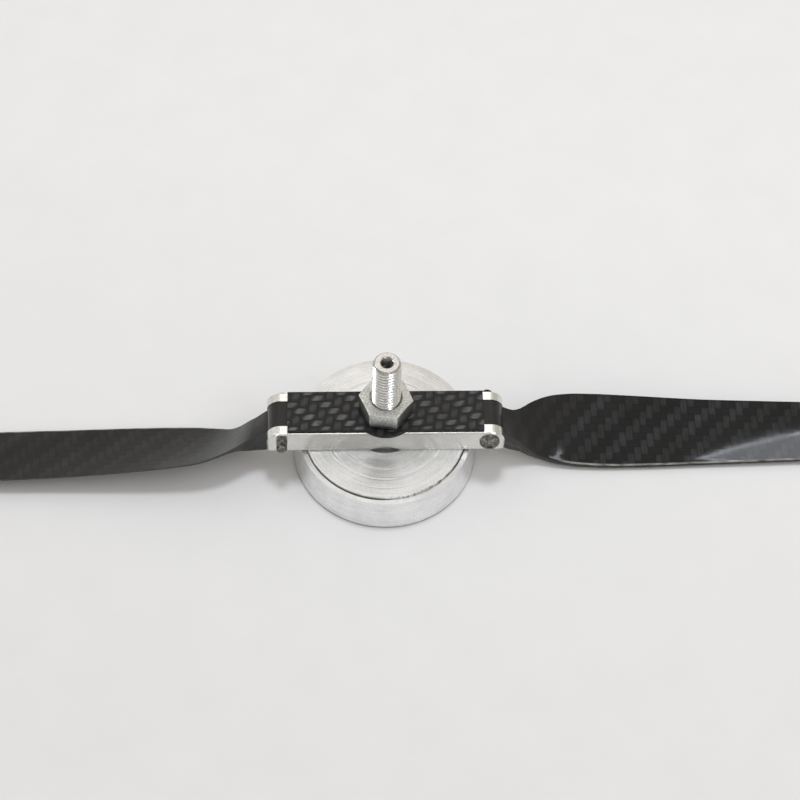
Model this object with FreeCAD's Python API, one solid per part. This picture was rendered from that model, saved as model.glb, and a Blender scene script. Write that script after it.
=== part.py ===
"""Folding two-blade carbon propeller on an aluminium collet hub, pusher side up.

Frame: millimetres, +Z up along the motor shaft, +X along the hub bar to the right blade.
The origin is on the shaft axis in the flat back face of the hub disc, which faces the motor.
Every sub-part is modelled in place and written to parts/NODE.step.
"""
import FreeCAD
import Part
import math
import os

from FreeCAD import Vector

# ---- driving dimensions ----------------------------------------------------------------
THREAD_RADIUS = 4.0          # M8 stud
NUT_ACROSS_FLATS = 13.0      # M8 hex nut
NUT_HEIGHT = 6.5
SHAFT_RADIUS = 2.5           # 5 mm motor shaft held by the collet
STUD_ABOVE_NUT = 16.0

PIVOT_HEIGHT = 14.9          # pivot axes above the back face
PIVOT_OFFSET = 28.4          # pivot axes from the shaft axis
SCREW_RADIUS = 1.5           # M3 pivot screws
RUNNING_GAP = 0.05           # radial clearance of a turning fit

BAR_WIDTH = 14.0
BAR_HEIGHT = 8.0
SLOT_WIDTH = 8.2
ROOT_WIDTH = 8.0
TAIL_LENGTH = 4.5            # flat tail of a blade root, inboard of its pivot

PLATE_THICKNESS = 1.2
PLATE_WIDTH = 12.7
PLATE_HALF_LENGTH = 26.8
PLATE_BOSS_RADIUS = 8.4

DISC_BACK_RADIUS = 25.3
DISC_RIM_RADIUS = 24.0
DISC_LAND_RADIUS = 22.4      # raised flat that the bar stands on
LAND_STEP = 0.8
RIM_SLOPE = 0.1
RELIEF_RADIUS = 8.0          # round relief where the bar meets the disc, open at the bar's sides
RELIEF_IN_DISC = 0.3
RELIEF_IN_BAR = 0.3

BLADE_TIP_RADIUS = 165.0     # a 13 inch propeller

# ---- dimensions that follow ------------------------------------------------------------
BAR_TOP = PIVOT_HEIGHT + BAR_HEIGHT / 2
BAR_BOTTOM = PIVOT_HEIGHT - BAR_HEIGHT / 2
PLATE_TOP = BAR_TOP + PLATE_THICKNESS
NUT_TOP = PLATE_TOP + NUT_HEIGHT
STUD_TOP = NUT_TOP + STUD_ABOVE_NUT
EAR_RADIUS = BAR_HEIGHT / 2 + 0.1
ROOT_RADIUS = BAR_HEIGHT / 2 - 0.05
BAR_HALF_LENGTH = PIVOT_OFFSET + EAR_RADIUS
SLOT_END = PIVOT_OFFSET - math.hypot(TAIL_LENGTH, ROOT_RADIUS) - 0.8

NUT_TURN = -8.1              # degrees that the tightened nut stopped at
NUT_CHAMFER_RADIUS = 6.35
NUT_CHAMFER_ANGLE = 25.0
NUT_COUNTERSINK_RADIUS = 4.55

CONE_TOP_Z = 9.0             # collet cone in the hub disc
CONE_TOP_RADIUS = 4.2
CONE_FOOT_Z = 0.6
CONE_FOOT_RADIUS = 6.1
COLLET_SLITS = 3
SLIT_WIDTH = 0.8
SLIT_TOP_Z = 11.5
SHAFT_BORE_DEPTH = 19.0
TIP_HOLE_RADIUS = 1.65       # tapping size of the M4 hole in the stud's end
TIP_HOLE_DEPTH = 10.0

BACK_RECESS_DEPTH = 6.5      # lightening groove turned in the disc's back
BACK_RECESS_INNER = 9.5
BACK_RECESS_OUTER = 21.5

BUSH_RADIUS = 2.5
SCREW_HEAD_RADIUS = 2.75     # button head
SCREW_HEAD_HEIGHT = 1.65
SCREW_LENGTH = 16.5
SOCKET_ACROSS_FLATS = 2.0
SOCKET_DEPTH = 0.7

# Blade stations on the right blade, heights from the pivot axis:
# radius, leading corner y z, trailing corner y z, thickness, edge thickness, hollow
BLADE_STATIONS = [
    (27.5, -3.95, 1.7, 3.95, 1.9, 5.5, 5.7, 0.0),
    (30.0, -3.95, 1.2, 3.95, 1.6, 6.8, 7.1, 0.0),
    (33.0, -3.95, -0.6, 3.95, 0.3, 8.0, 8.2, 0.0),
    (35.3, -3.95, -3.2, 4.05, -1.1, 6.7, 6.8, 0.0),
    (37.6, -4.0, -5.3, 4.9, -1.6, 5.6, 5.4, 0.0),
    (40.0, -4.3, -8.2, 6.5, -1.6, 4.8, 3.0, 0.1),
    (42.6, -4.6, -10.2, 8.0, -1.8, 4.2, 1.5, 0.2),
    (46.0, -5.45, -11.35, 9.5, -2.3, 3.7, 1.0, 0.4),
    (51.0, -6.3, -12.05, 10.85, -3.35, 3.2, 0.8, 0.5),
    (58.0, -6.8, -12.6, 11.5, -4.4, 2.8, 0.7, 0.6),
    (70.0, -6.85, -12.85, 11.85, -6.05, 2.5, 0.6, 0.6),
    (88.0, -6.35, -12.85, 11.95, -8.15, 2.3, 0.6, 0.6),
    (110.0, -5.75, -12.7, 12.0, -9.6, 2.1, 0.6, 0.5),
    (133.0, -4.9, -12.75, 11.65, -10.5, 1.8, 0.55, 0.4),
    (149.0, -3.7, -12.8, 10.7, -11.1, 1.5, 0.5, 0.3),
    (159.0, -1.9, -12.9, 9.0, -11.7, 1.25, 0.5, 0.2),
    (163.5, 0.2, -12.9, 6.9, -12.2, 1.1, 0.45, 0.1),
    (BLADE_TIP_RADIUS, 2.2, -12.8, 4.9, -12.45, 0.8, 0.45, 0.0),
]
# Underside of an aerofoil: fraction of the chord, share of the thickness over the edge's
AEROFOIL_DEPTH = [(0.06, 0.9), (0.16, 1.0), (0.32, 0.98), (0.55, 0.74), (0.8, 0.34), (1.0, 0.0)]
NOSE_BULGE = 0.3
SECTIONS_PER_GAP = 2         # loft sections from one station to the next

UP = Vector(0, 0, 1)
BACK = Vector(0, 1, 0)


# ---- helpers ---------------------------------------------------------------------------
def turned(profile, axis_point=Vector(0, 0, 0)):
    """Solid of revolution about Z from (radius, z) points."""
    points = [axis_point + Vector(r, 0, z) for r, z in profile]
    face = Part.Face(Part.makePolygon(points + points[:1]))
    return face.revolve(axis_point, UP, 360)


def cylinder(radius, low, high):
    """Upright cylinder on the shaft axis."""
    return Part.makeCylinder(radius, high - low, Vector(0, 0, low), UP)


def cross_cylinder(radius, x, y_low, y_high):
    """Cylinder along Y on a pivot axis."""
    return Part.makeCylinder(radius, y_high - y_low, Vector(x, y_low, PIVOT_HEIGHT), BACK)


def block(x_low, x_high, y_half, z_low, z_high):
    """Box that is centred on Y = 0."""
    corner = Vector(x_low, -y_half, z_low)
    return Part.makeBox(x_high - x_low, 2 * y_half, z_high - z_low, corner)


def hexagon_prism(across_flats, low, high, turn):
    """Upright hexagonal prism on the shaft axis."""
    corner_radius = across_flats / math.sqrt(3)
    angles = [math.radians(turn + 60 * k) for k in range(7)]
    points = [Vector(corner_radius * math.cos(a), corner_radius * math.sin(a), low) for a in angles]
    return Part.Face(Part.makePolygon(points)).extrude(Vector(0, 0, high - low))


def half_turn(shape):
    """The same shape turned by half a revolution about the shaft axis."""
    copy = shape.copy()
    copy.rotate(Vector(0, 0, 0), UP, 180)
    return copy


def spline(points):
    """Smooth edge through the points."""
    curve = Part.BSplineCurve()
    curve.interpolate(points)
    return curve.toShape()


# ---- hub -------------------------------------------------------------------------------
def make_hub_disc():
    """Turned flange: flared flank, raised land, cone bore and a lightening groove."""
    rim_z = BAR_BOTTOM - LAND_STEP
    flank_break = 0.25
    body = turned([
        (CONE_FOOT_RADIUS, 0),
        (DISC_BACK_RADIUS - flank_break, 0),
        (DISC_BACK_RADIUS, flank_break),
        (DISC_RIM_RADIUS, rim_z - RIM_SLOPE),
        (DISC_LAND_RADIUS + 0.1, rim_z),
        (DISC_LAND_RADIUS, BAR_BOTTOM - 0.08),
        (DISC_LAND_RADIUS - 0.08, BAR_BOTTOM),
        (RELIEF_RADIUS, BAR_BOTTOM),
        (RELIEF_RADIUS, BAR_BOTTOM - RELIEF_IN_DISC),
        (CONE_TOP_RADIUS, BAR_BOTTOM - RELIEF_IN_DISC),
        (CONE_TOP_RADIUS, CONE_TOP_Z),
        (CONE_FOOT_RADIUS, CONE_FOOT_Z),
    ])
    wall_lean = 0.8
    groove = turned([
        (BACK_RECESS_INNER, -1),
        (BACK_RECESS_OUTER, -1),
        (BACK_RECESS_OUTER - wall_lean, BACK_RECESS_DEPTH - 1.2),
        (BACK_RECESS_OUTER - wall_lean - 1.2, BACK_RECESS_DEPTH),
        (BACK_RECESS_INNER + 1.2, BACK_RECESS_DEPTH),
        (BACK_RECESS_INNER, BACK_RECESS_DEPTH - 1.2),
    ])
    return body.cut(groove)


def make_collet_stud():
    """Threaded stud whose split, tapered foot grips the motor shaft."""
    end_chamfer = 0.45
    thread = THREAD_RADIUS - 0.03
    seat_gap = 0.02
    body = turned([
        (0, CONE_FOOT_Z),
        (CONE_FOOT_RADIUS - seat_gap, CONE_FOOT_Z),
        (CONE_TOP_RADIUS - seat_gap, CONE_TOP_Z),
        (thread, CONE_TOP_Z + 0.3),
        (thread, STUD_TOP - end_chamfer),
        (thread - end_chamfer, STUD_TOP),
        (0, STUD_TOP),
    ])
    mouth = 0.4
    shaft_bore = turned([
        (0, CONE_FOOT_Z - 1),
        (SHAFT_RADIUS + mouth + 1, CONE_FOOT_Z - 1),
        (SHAFT_RADIUS, CONE_FOOT_Z + mouth),
        (SHAFT_RADIUS, CONE_FOOT_Z + SHAFT_BORE_DEPTH),
        (0, CONE_FOOT_Z + SHAFT_BORE_DEPTH + SHAFT_RADIUS * 0.6),
    ])
    tip_hole = turned([
        (0, STUD_TOP + 1),
        (TIP_HOLE_RADIUS + mouth + 1, STUD_TOP + 1),
        (TIP_HOLE_RADIUS, STUD_TOP - mouth),
        (TIP_HOLE_RADIUS, STUD_TOP - TIP_HOLE_DEPTH),
        (0, STUD_TOP - TIP_HOLE_DEPTH - TIP_HOLE_RADIUS * 0.6),
    ])
    body = body.cut(shaft_bore).cut(tip_hole)
    for k in range(COLLET_SLITS):
        slit = Part.makeBox(CONE_FOOT_RADIUS + 1, SLIT_WIDTH, SLIT_TOP_Z + 1, Vector(0, -SLIT_WIDTH / 2, -1))
        slit.rotate(Vector(0, 0, 0), UP, 90 + 360 * k / COLLET_SLITS)
        body = body.cut(slit)
    return body


def ear_profile():
    """Side view of the bar: rounded over the pivots at the top, square at the bottom."""
    half = BAR_HALF_LENGTH
    reach = PIVOT_OFFSET
    slant = EAR_RADIUS * math.sqrt(0.5)
    top = PIVOT_HEIGHT + BAR_HEIGHT / 2
    points = {
        "left top": Vector(-reach, 0, top),
        "left arc": Vector(-reach - slant, 0, PIVOT_HEIGHT + slant),
        "left end": Vector(-half, 0, PIVOT_HEIGHT),
        "left foot": Vector(-half, 0, BAR_BOTTOM),
        "right foot": Vector(half, 0, BAR_BOTTOM),
        "right end": Vector(half, 0, PIVOT_HEIGHT),
        "right arc": Vector(reach + slant, 0, PIVOT_HEIGHT + slant),
        "right top": Vector(reach, 0, top),
    }
    edges = [
        Part.Arc(points["left top"], points["left arc"], points["left end"]).toShape(),
        Part.makeLine(points["left end"], points["left foot"]),
        Part.makeLine(points["left foot"], points["right foot"]),
        Part.makeLine(points["right foot"], points["right end"]),
        Part.Arc(points["right end"], points["right arc"], points["right top"]).toShape(),
        Part.makeLine(points["right top"], points["left top"]),
    ]
    return Part.Face(Part.Wire(edges))


def make_yoke():
    """Hub bar with a clevis at each end for a blade root."""
    bar = ear_profile().extrude(BACK * BAR_WIDTH)
    bar.translate(BACK * (-BAR_WIDTH / 2))
    edge_break = 0.15
    outline = [e for e in bar.Edges if abs(abs(e.CenterOfMass.y) - BAR_WIDTH / 2) < 0.01]
    bar = bar.makeChamfer(edge_break, outline)
    bar = bar.cut(cylinder(THREAD_RADIUS + 0.05, BAR_BOTTOM - 1, BAR_TOP + 1))
    bar = bar.cut(cylinder(RELIEF_RADIUS, BAR_BOTTOM - 1, BAR_BOTTOM + RELIEF_IN_BAR))
    corner = 1.0
    for side in (-1, 1):
        ends = sorted((side * SLOT_END, side * (BAR_HALF_LENGTH + 2)))
        slot = block(ends[0], ends[1], SLOT_WIDTH / 2, BAR_BOTTOM - 1, BAR_TOP + 1)
        inner = [e for e in slot.Edges if abs(e.CenterOfMass.x - side * SLOT_END) < 0.01
                 and abs(e.tangentAt(e.FirstParameter).z) > 0.9]
        bar = bar.cut(slot.makeFillet(corner, inner))
        reach = BAR_WIDTH / 2 + 1
        bar = bar.cut(cross_cylinder(SCREW_RADIUS + RUNNING_GAP, side * PIVOT_OFFSET, -reach, reach))
    return bar


def make_cover_plate():
    """Carbon strip over the bar with a round boss; its ends stop the blade roots."""
    strip = block(-PLATE_HALF_LENGTH, PLATE_HALF_LENGTH, PLATE_WIDTH / 2, BAR_TOP, PLATE_TOP)
    plate = strip.fuse(cylinder(PLATE_BOSS_RADIUS, BAR_TOP, PLATE_TOP)).removeSplitter()
    chord = math.sqrt(PLATE_BOSS_RADIUS ** 2 - (PLATE_WIDTH / 2) ** 2)
    corner_edges = [e for e in plate.Edges if abs(abs(e.CenterOfMass.x) - chord) < 0.05
                    and abs(abs(e.CenterOfMass.y) - PLATE_WIDTH / 2) < 0.05]
    blend_radius = 5.0
    plate = plate.makeFillet(blend_radius, corner_edges)
    return plate.cut(cylinder(THREAD_RADIUS + 0.1, BAR_TOP - 1, PLATE_TOP + 1))


def make_hub_nut():
    """Hex nut, chamfered on both faces and countersunk."""
    nut = hexagon_prism(NUT_ACROSS_FLATS, PLATE_TOP, NUT_TOP, NUT_TURN)
    corner = NUT_ACROSS_FLATS / math.sqrt(3) + 0.2
    drop = (corner - NUT_CHAMFER_RADIUS) * math.tan(math.radians(NUT_CHAMFER_ANGLE))
    envelope = turned([
        (0, PLATE_TOP),
        (NUT_CHAMFER_RADIUS, PLATE_TOP),
        (corner, PLATE_TOP + drop),
        (corner, NUT_TOP - drop),
        (NUT_CHAMFER_RADIUS, NUT_TOP),
        (0, NUT_TOP),
    ])
    sink = NUT_COUNTERSINK_RADIUS - THREAD_RADIUS
    bore = turned([
        (0, PLATE_TOP - 1),
        (NUT_COUNTERSINK_RADIUS + 1, PLATE_TOP - 1),
        (THREAD_RADIUS, PLATE_TOP + sink),
        (THREAD_RADIUS, NUT_TOP - sink),
        (NUT_COUNTERSINK_RADIUS + 1, NUT_TOP + 1),
        (0, NUT_TOP + 1),
    ])
    return nut.common(envelope).cut(bore)


# ---- blades ----------------------------------------------------------------------------
def slopes(radii, values):
    """Slope of a smooth curve at each station, from its two neighbours."""
    steps = [(b - a) / (s - r) for r, s, a, b in zip(radii, radii[1:], values, values[1:])]
    inner = [(p * (t - s) + q * (s - r)) / (t - r)
             for p, q, r, s, t in zip(steps, steps[1:], radii, radii[1:], radii[2:])]
    return [steps[0]] + inner + [steps[-1]]


def smooth_stations():
    """The blade stations with more between them, on a smooth curve through each column."""
    radii = [station[0] for station in BLADE_STATIONS]
    columns = [(values, slopes(radii, values)) for values in list(zip(*BLADE_STATIONS))[1:]]
    filled = []
    for k in range(len(radii) - 1):
        gap = radii[k + 1] - radii[k]
        for step in range(SECTIONS_PER_GAP):
            u = step / SECTIONS_PER_GAP
            row = [radii[k] + gap * u]
            for values, slope in columns:
                start = (1 + 2 * u) * (1 - u) ** 2 * values[k] + u * (1 - u) ** 2 * gap * slope[k]
                end = u * u * (3 - 2 * u) * values[k + 1] - u * u * (1 - u) * gap * slope[k + 1]
                row.append(start + end)
            filled.append(tuple(row))
    return filled + [BLADE_STATIONS[-1]]


def blade_section(station):
    """Closed outline across the right blade at one radius."""
    x, lead_y, lead_z, trail_y, trail_z, thick, edge, hollow = station
    chord = trail_y - lead_y
    bulge = NOSE_BULGE * (1 - edge / thick)
    nose = min(0.65 * thick, thick - 0.5)

    def top(f):
        line = lead_z + (trail_z - lead_z) * f
        return PIVOT_HEIGHT + line - hollow * 4 * f * (1 - f)

    def under(f, share):
        base = lead_z + (trail_z - lead_z) * f
        return Vector(x, lead_y + chord * f, PIVOT_HEIGHT + base - edge - (thick - edge) * share)

    upper = [Vector(x, lead_y + chord * f, top(f)) for f in (1.0, 0.75, 0.5, 0.25, 0.0)]
    lower = [
        upper[-1],
        Vector(x, lead_y - bulge, top(0) - 0.35 * nose),
        Vector(x, lead_y - bulge * 0.6, top(0) - 0.75 * nose),
        Vector(x, lead_y + 0.35, top(0) - 0.75 * nose - 0.2 * thick * (0.5 + 0.5 * edge / thick)),
    ]
    lower += [under(f, share) for f, share in AEROFOIL_DEPTH]
    edges = [spline(upper), spline(lower), Part.makeLine(lower[-1], upper[0])]
    return Part.Wire(edges)


def make_right_blade():
    """Twisted blade lofted out of a cylindrical root with a flat, square tail."""
    blade = Part.makeLoft([blade_section(s) for s in smooth_stations()], True, False)
    half = ROOT_WIDTH / 2
    barrel = cross_cylinder(ROOT_RADIUS, PIVOT_OFFSET, -half, half)
    tail = block(PIVOT_OFFSET - TAIL_LENGTH, PIVOT_OFFSET, half, PIVOT_HEIGHT, PIVOT_HEIGHT + ROOT_RADIUS)
    blade = blade.fuse(barrel).fuse(tail)
    return blade.cut(cross_cylinder(BUSH_RADIUS, PIVOT_OFFSET, -half - 1, half + 1))


def make_right_bush():
    """Brass sleeve pressed in the blade root."""
    half = ROOT_WIDTH / 2
    sleeve = cross_cylinder(BUSH_RADIUS, PIVOT_OFFSET, -half, half)
    return sleeve.cut(cross_cylinder(SCREW_RADIUS + RUNNING_GAP, PIVOT_OFFSET, -half - 1, half + 1))


def make_right_screw():
    """Button-head socket screw through both ears, put in from the front."""
    face = 0.0
    end_chamfer = 0.4
    crown = 0.85
    side = 0.45
    outline = [
        Part.makeLine(Vector(0, 0, face - SCREW_HEAD_HEIGHT), Vector(crown, 0, face - SCREW_HEAD_HEIGHT)),
        Part.Arc(Vector(crown, 0, face - SCREW_HEAD_HEIGHT),
                 Vector(SCREW_HEAD_RADIUS * 0.8, 0, face - SCREW_HEAD_HEIGHT * 0.73),
                 Vector(SCREW_HEAD_RADIUS, 0, face - side)).toShape(),
        Part.makePolygon([
            Vector(SCREW_HEAD_RADIUS, 0, face - side),
            Vector(SCREW_HEAD_RADIUS, 0, face),
            Vector(SCREW_RADIUS, 0, face),
            Vector(SCREW_RADIUS, 0, SCREW_LENGTH - end_chamfer),
            Vector(SCREW_RADIUS - end_chamfer, 0, SCREW_LENGTH),
            Vector(0, 0, SCREW_LENGTH),
            Vector(0, 0, face - SCREW_HEAD_HEIGHT),
        ]),
    ]
    edges = [e for part in outline for e in part.Edges]
    screw = Part.Face(Part.Wire(edges)).revolve(Vector(0, 0, 0), UP, 360)
    socket = hexagon_prism(SOCKET_ACROSS_FLATS, -SCREW_HEAD_HEIGHT - 1, -SCREW_HEAD_HEIGHT + SOCKET_DEPTH, 0)
    screw = screw.cut(socket)
    screw.rotate(Vector(0, 0, 0), Vector(1, 0, 0), -90)
    screw.translate(Vector(PIVOT_OFFSET, -BAR_WIDTH / 2, PIVOT_HEIGHT))
    return screw


# ---- output ----------------------------------------------------------------------------
def main():
    """Build every sub-part and write it."""
    right_blade = make_right_blade()
    right_bush = make_right_bush()
    right_screw = make_right_screw()
    parts = {
        "hub_disc": make_hub_disc(),
        "collet_stud": make_collet_stud(),
        "yoke": make_yoke(),
        "cover_plate": make_cover_plate(),
        "hub_nut": make_hub_nut(),
        "blade_right": right_blade,
        "blade_left": half_turn(right_blade),
        "root_bush_right": right_bush,
        "root_bush_left": half_turn(right_bush),
        "pivot_screw_right": right_screw,
        "pivot_screw_left": half_turn(right_screw),
    }
    os.makedirs("parts", exist_ok=True)
    for node, shape in parts.items():
        shape.exportStep("parts/" + node + ".step")
        box = shape.BoundBox
        print(node, "solids", len(shape.Solids), "valid", shape.isValid(), "volume", round(shape.Volume, 1),
              "z", round(box.ZMin, 2), round(box.ZMax, 2))


main()
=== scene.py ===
"""Looks of the folding carbon propeller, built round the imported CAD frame. Units are metres."""
import math

import bmesh
import bpy
from mathutils import Matrix, Vector


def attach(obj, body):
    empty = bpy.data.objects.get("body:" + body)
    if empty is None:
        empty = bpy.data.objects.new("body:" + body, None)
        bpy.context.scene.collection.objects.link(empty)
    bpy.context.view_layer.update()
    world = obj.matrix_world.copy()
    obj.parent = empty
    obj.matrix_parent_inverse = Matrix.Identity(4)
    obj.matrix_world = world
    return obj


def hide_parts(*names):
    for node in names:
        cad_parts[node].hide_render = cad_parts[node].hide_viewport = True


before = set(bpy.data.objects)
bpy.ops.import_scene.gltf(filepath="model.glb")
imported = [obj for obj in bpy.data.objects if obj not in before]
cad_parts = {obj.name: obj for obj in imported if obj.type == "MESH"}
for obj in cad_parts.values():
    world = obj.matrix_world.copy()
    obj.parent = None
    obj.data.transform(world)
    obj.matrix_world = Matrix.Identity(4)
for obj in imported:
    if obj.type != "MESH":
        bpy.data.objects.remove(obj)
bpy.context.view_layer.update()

MM = 0.001

# ---- sizes shared with the CAD model, in millimetres -----------------------------------
PIVOT_OFFSET = 28.4
PIVOT_HEIGHT = 14.9
BAR_BOTTOM = 10.9
BAR_TOP = 18.9
BAR_HALF_WIDTH = 7.0
BAR_BORE_RADIUS = 4.05
PIN_HOLE_RADIUS = 1.55
EAR_RADIUS = 4.1
SLOT_HALF_WIDTH = 4.1
SLOT_END = 21.6
PLATE_TOP = 20.1
PLATE_HALF_WIDTH = 6.35
PLATE_HALF_LENGTH = 26.8
PLATE_BOSS_RADIUS = 8.4
PLATE_BLEND = 5.0            # hollow curve from the straight side to the boss
PLATE_BORE_RADIUS = 4.1
NUT_TOP = 26.6
NUT_ACROSS_FLATS = 13.0
NUT_TURN = -8.1
NUT_CHAMFER_RADIUS = 6.35
STUD_TOP = 42.6
THREAD_RADIUS = 3.97
THREAD_PITCH = 1.25
THREAD_DEPTH = 0.62
THREAD_LOW = 19.2
SHAFT_RADIUS = 2.5
SLIT_TOP = 11.5
SLIT_HALF_WIDTH = 0.4
TIP_HOLE_RADIUS = 1.65
TIP_HOLE_PITCH = 0.7
ROOT_RADIUS = 3.95
ROOT_WIDTH = 8.0
TAIL_LENGTH = 4.5
BUSH_RADIUS = 2.5
SCREW_RADIUS = 1.5
SCREW_PITCH = 0.5
SCREW_THREAD_DEPTH = 0.27
SCREW_PLAIN = 9.9            # plain part of the shank
SCREW_LENGTH = 16.5
HEAD_RADIUS = 2.75
HEAD_HEIGHT = 1.65
SOCKET_RADIUS = 0.8          # inside its flats
SOCKET_DEPTH = 0.2
CONE_FOOT_RADIUS = 6.1       # collet cone seat in the disc
CONE_FOOT = 0.6
CONE_TOP_RADIUS = 4.2
CONE_TOP = 9.0
DISC_RECESS = [(9.5, 0), (9.5, 5.3), (10.7, 6.5), (19.5, 6.5), (20.7, 5.3), (21.5, 0)]
DISC_BACK_RADIUS = 25.3
DISC_RIM_RADIUS = 24.0
DISC_RIM = 10.0
LAND_RADIUS = 22.4
LEDGE = 10.1
GROOVE_WALL = 22.42          # inner and outer radius of the groove round the land
GROOVE_OUT = 22.68
GROOVE_DEPTH = 0.65
RELIEF_RADIUS = 8.0          # round relief between bar and disc
RELIEF_DEPTH = 0.3

# radius, leading corner y z, trailing corner y z, thickness, edge thickness, hollow
BLADE_STATIONS = [
    (27.5, -3.95, 1.7, 3.95, 1.9, 5.5, 5.7, 0.0),
    (30.0, -3.95, 1.2, 3.95, 1.6, 6.8, 7.1, 0.0),
    (33.0, -3.95, -0.6, 3.95, 0.3, 8.0, 8.2, 0.0),
    (35.3, -3.95, -3.2, 4.05, -1.1, 6.7, 6.8, 0.0),
    (37.6, -4.0, -5.3, 4.9, -1.6, 5.6, 5.4, 0.0),
    (40.0, -4.3, -8.2, 6.5, -1.6, 4.8, 3.0, 0.1),
    (42.6, -4.6, -10.2, 8.0, -1.8, 4.2, 1.5, 0.2),
    (46.0, -5.45, -11.35, 9.5, -2.3, 3.7, 1.0, 0.4),
    (51.0, -6.3, -12.05, 10.85, -3.35, 3.2, 0.8, 0.5),
    (58.0, -6.8, -12.6, 11.5, -4.4, 2.8, 0.7, 0.6),
    (70.0, -6.85, -12.85, 11.85, -6.05, 2.5, 0.6, 0.6),
    (88.0, -6.35, -12.85, 11.95, -8.15, 2.3, 0.6, 0.6),
    (110.0, -5.75, -12.7, 12.0, -9.6, 2.1, 0.6, 0.5),
    (133.0, -4.9, -12.75, 11.65, -10.5, 1.8, 0.55, 0.4),
    (149.0, -3.7, -12.8, 10.7, -11.1, 1.5, 0.5, 0.3),
    (159.0, -1.9, -12.9, 9.0, -11.7, 1.25, 0.5, 0.2),
    (163.5, 0.2, -12.9, 6.9, -12.2, 1.1, 0.45, 0.1),
    (165.0, 2.2, -12.8, 4.9, -12.45, 0.8, 0.45, 0.0),
]
AEROFOIL_DEPTH = [(0.06, 0.9), (0.16, 1.0), (0.32, 0.98), (0.55, 0.74), (0.8, 0.34), (1.0, 0.0)]
NOSE_BULGE = 0.3
BLADE_CORNER = 0.2           # rounding of the upper leading corner
UPPER_STEPS = 16             # parts of a ring's upper side; the corner's points come next
HIGHLIGHT_START = 43.0            # radius where the painted highlight along the leading corner begins
HIGHLIGHT_FADE = 6.0

# ---- view ------------------------------------------------------------------------------
CAMERA_PITCH = 55.6          # degrees below the horizontal
CAMERA_TURN = -3.35          # degrees about the shaft axis, seen from the front
CAMERA_ROLL = -2.3
CAMERA_DISTANCE = 0.605
CAMERA_LENS = 99.0
AIM_RIGHT = 0.00404          # the picture's centre, from the hub's centre
AIM_UP = 0.00575

# ---- colours and marks -----------------------------------------------------------------
LAMP_COLOUR = (0.955, 1.0, 1.09)
ROOM_TINT = (1.05, 1.0, 0.92, 1.0)
ALUMINIUM = (0.82, 0.815, 0.79)
BRIGHT_ALUMINIUM = (0.97, 0.97, 0.965)
STEEL = (0.92, 0.94, 0.93)
BRASS = (0.80, 0.62, 0.30)
# dark colour of the painted shade on the disc
SHADE_COLOUR = (0.03, 0.028, 0.026, 1.0)
# radius and height of the lathe's deeper rings
TOOL_MARKS = [(12.9, 1.8), (13.4, -2.2), (16.1, 2.2), (16.6, -2.8), (19.3, -1.6), (21.4, 1.4)]


# ---- mesh helpers ----------------------------------------------------------------------
def link(name, mesh):
    """New object in the scene for a mesh."""
    piece = bpy.data.objects.new(name, mesh)
    bpy.context.scene.collection.objects.link(piece)
    return piece


def to_piece(name, shape):
    """New object from a bmesh, with consistent outward normals."""
    bmesh.ops.recalc_face_normals(shape, faces=shape.faces)
    mesh = bpy.data.meshes.new(name)
    shape.to_mesh(mesh)
    shape.free()
    return link(name, mesh)


def smooth(piece, angle):
    """Smooth shading with sharp edges kept above an angle in degrees."""
    piece.data.shade_smooth()
    piece.data.set_sharp_from_angle(angle=math.radians(angle))


def bake_modifiers(piece):
    """Replace the mesh by its modified one."""
    bpy.context.view_layer.update()
    graph = bpy.context.evaluated_depsgraph_get()
    mesh = bpy.data.meshes.new_from_object(piece.evaluated_get(graph))
    piece.modifiers.clear()
    piece.data = mesh


def soften(piece, width, segments=2):
    """Bevel the sharp edges (width in millimetres, 0 for none) and shade the faces smoothly."""
    if width:
        bevel = piece.modifiers.new("bevel", "BEVEL")
        bevel.width = width * MM
        bevel.segments = segments
        bevel.limit_method = "ANGLE"
        bevel.angle_limit = math.radians(35)
        bevel.harden_normals = False
        bake_modifiers(piece)
    smooth(piece, 40)
    piece.modifiers.new("weights", "WEIGHTED_NORMAL").keep_sharp = True
    bake_modifiers(piece)


def combine(piece, tool, operation="DIFFERENCE"):
    """Boolean of two closed pieces; the tool is used up."""
    modifier = piece.modifiers.new("combine", "BOOLEAN")
    modifier.operation = operation
    modifier.solver = "EXACT"
    modifier.object = tool
    bake_modifiers(piece)
    bpy.data.objects.remove(tool)


def skin(rows, closed=False):
    """Bmesh skin over rings of points in millimetres; closed joins the last ring to the first."""
    shape = bmesh.new()
    lines = [[shape.verts.new(p * MM) for p in row] for row in rows]
    pairs = list(zip(lines, lines[1:])) + ([(lines[-1], lines[0])] if closed else [])
    count = len(lines[0])
    for low, high in pairs:
        for k in range(count):
            n = (k + 1) % count
            shape.faces.new((low[k], low[n], high[n], high[k]))
    bmesh.ops.remove_doubles(shape, verts=shape.verts, dist=1e-8)
    return shape


def prism(outline, lift, plane="XY"):
    """Bmesh prism in millimetres: the outline at both ends of lift, with flat caps."""
    shape = bmesh.new()
    sides = []
    for level in lift:
        points = [(a, b, level) if plane == "XY" else (a, level, b) for a, b in outline]
        sides.append([shape.verts.new(Vector(p) * MM) for p in points])
    low, high = sides
    for k in range(len(outline)):
        n = (k + 1) % len(outline)
        shape.faces.new((low[k], low[n], high[n], high[k]))
    shape.faces.new(low)
    shape.faces.new(high)
    return shape


def arc(centre, radius, start, end, steps):
    """Points on an arc, angles in degrees."""
    angles = [math.radians(start + (end - start) * k / steps) for k in range(steps + 1)]
    return [(centre[0] + radius * math.cos(a), centre[1] + radius * math.sin(a)) for a in angles]


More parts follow.
